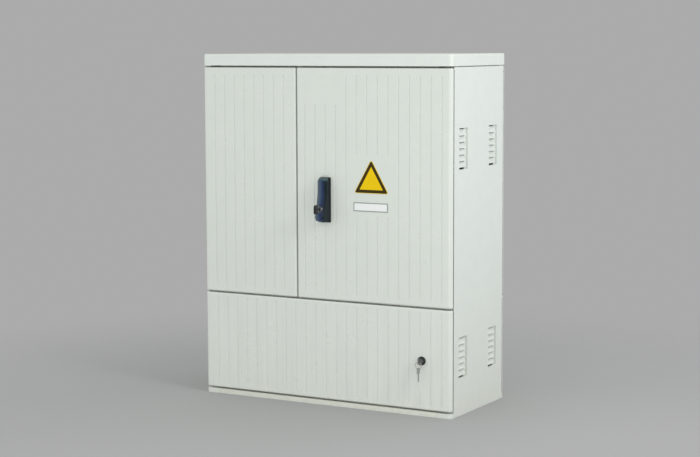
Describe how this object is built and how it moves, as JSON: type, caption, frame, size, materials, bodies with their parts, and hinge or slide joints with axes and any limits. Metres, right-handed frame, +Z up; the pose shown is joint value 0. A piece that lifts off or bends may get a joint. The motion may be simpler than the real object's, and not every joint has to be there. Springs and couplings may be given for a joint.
{
  "type": "roadside utility cabinet",
  "caption": "Free-standing roadside utility cabinet with grooved doors, side louvres, a swing handle with latch rods, a cam lock with hanging keys and an inner mounting plate.",
  "frame": {"origin": "centre of the anchor holes, on the ground under the middle of the cabinet", "axes": "+Z up, -Y out of the doors' faces, +X to the right when facing the doors"},
  "size_m": [0.97, 0.5, 1.2],
  "materials": {
    "moulded_polyester": "pressed glass-fibre polyester, light grey, satin",
    "frame_polyester": "pressed glass-fibre polyester, grey, matt",
    "galvanised_sheet": "galvanised sheet",
    "plated_steel": "zinc or nickel plated steel",
    "seal_rubber": "foam rubber strip",
    "black_plastic": "moulded glass-filled nylon, black",
    "key_plastic": "moulded black key bow",
    "handle_finish": "zinc casting, slate grey coat",
    "lock_chrome": "chromed brass",
    "insulator_resin": "red-brown polyester resin",
    "copper": "bare copper"
  },
  "bodies": {
    "cabinet": {"right_side_wall": "moulded_polyester", "left_side_wall": "moulded_polyester", "roof": "moulded_polyester", "front_header": "frame_polyester", "rear_header": "frame_polyester", "front_mid_rail": "frame_polyester", "rear_mid_rail": "frame_polyester", "front_base_rail": "frame_polyester", "rear_base_rail": "frame_polyester", "centre_post": "frame_polyester", "partition_shelf": "galvanised_sheet", "upper_rear_panel": "moulded_polyester", "lower_rear_panel": "moulded_polyester", "frame_bolts": "plated_steel", "mounting_uprights": "galvanised_sheet", "mounting_plate": "galvanised_sheet", "plate_screws": "plated_steel", "cable_rail": "galvanised_sheet", "insulators": "insulator_resin", "earth_bar": "copper", "fitting_bolts": "plated_steel", "latch_keepers": "galvanised_sheet", "hinge_frame_leaves": "plated_steel", "hinge_pins": "plated_steel"},
    "right_door": {"right_door": "moulded_polyester", "right_door_seal": "seal_rubber", "right_hinge_leaves": "plated_steel", "handle_backplate": "black_plastic", "handle_screws": "plated_steel", "rod_guides": "black_plastic"},
    "spindle": {"handle_spindle": "plated_steel", "latch_cam": "galvanised_sheet", "cam_bolt": "plated_steel"},
    "lever": {"handle_lever": "handle_finish", "lever_pin": "plated_steel", "handle_lock_rim": "lock_chrome"},
    "handle_key": {"handle_lock_plug": "lock_chrome", "handle_key": "key_plastic"},
    "top_rod": {"top_rod": "galvanised_sheet"},
    "bottom_rod": {"bottom_rod": "galvanised_sheet"},
    "left_door": {"left_door": "moulded_polyester", "left_door_seal": "seal_rubber", "left_hinge_leaves": "plated_steel", "bolt_guides": "black_plastic"},
    "left_top_bolt": {"left_top_bolt": "galvanised_sheet"},
    "left_bottom_bolt": {"left_bottom_bolt": "galvanised_sheet"},
    "lower_door": {"lower_door": "moulded_polyester", "lower_door_seal": "seal_rubber", "lower_hinge_leaves": "plated_steel", "lock_body": "black_plastic", "lock_nut": "plated_steel"},
    "lower_key": {"lock_plug": "lock_chrome", "lock_cam": "plated_steel", "lock_cam_screw": "plated_steel", "lock_key": "plated_steel"},
    "key_ring": {"key_ring": "plated_steel", "spare_key": "plated_steel"}
  },
  "joints": [
    {"name": "right_door_hinge", "type": "hinge", "parent": "cabinet", "child": "right_door", "pos_m": [0.473, -0.195, 0.7605], "axis": [0, 0, 1], "range_deg": [0, 110]},
    {"name": "left_door_hinge", "type": "hinge", "parent": "cabinet", "child": "left_door", "pos_m": [-0.473, -0.195, 0.7605], "axis": [0, 0, -1], "range_deg": [0, 110]},
    {"name": "lower_door_hinge", "type": "hinge", "parent": "cabinet", "child": "lower_door", "pos_m": [-0.473, -0.195, 0.1915], "axis": [0, 0, -1], "range_deg": [0, 110]},
    {"name": "handle_spindle_turn", "type": "hinge", "parent": "right_door", "child": "spindle", "pos_m": [0.0105, -0.207, 0.768], "axis": [0, -1, 0], "range_deg": [0, 90]},
    {"name": "top_rod_slide", "type": "slide", "parent": "right_door", "child": "top_rod", "axis": [0, 0, -1], "range_m": [0, 0.02546]},
    {"name": "bottom_rod_slide", "type": "slide", "parent": "right_door", "child": "bottom_rod", "axis": [0, 0, 1], "range_m": [0, 0.02546]},
    {"name": "lever_swing", "type": "hinge", "parent": "spindle", "child": "lever", "pos_m": [0.0105, -0.22, 0.768], "axis": [-1, 0, 0], "range_deg": [0, 30]},
    {"name": "handle_key_turn", "type": "hinge", "parent": "lever", "child": "handle_key", "pos_m": [0.0105, -0.258, 0.68], "axis": [0, -1, 0], "range_deg": [0, 90]},
    {"name": "left_top_bolt_slide", "type": "slide", "parent": "left_door", "child": "left_top_bolt", "axis": [0, 0, 1], "range_m": [0, 0.016]},
    {"name": "left_bottom_bolt_slide", "type": "slide", "parent": "left_door", "child": "left_bottom_bolt", "axis": [0, 0, -1], "range_m": [0, 0.016]},
    {"name": "lower_key_turn", "type": "hinge", "parent": "lower_door", "child": "lower_key", "pos_m": [0.376, -0.213, 0.187], "axis": [0, -1, 0], "range_deg": [0, 90]},
    {"name": "key_ring_swing", "type": "hinge", "parent": "lower_key", "child": "key_ring", "pos_m": [0.376, -0.232, 0.18605], "axis": [-1, 0, 0], "range_deg": [-8, 80]}
  ],
  "couplings": [
    {"joint": "top_rod_slide", "follows": "handle_spindle_turn", "m_per_rad": 0.016206},
    {"joint": "bottom_rod_slide", "follows": "handle_spindle_turn", "m_per_rad": 0.016206}
  ]
}
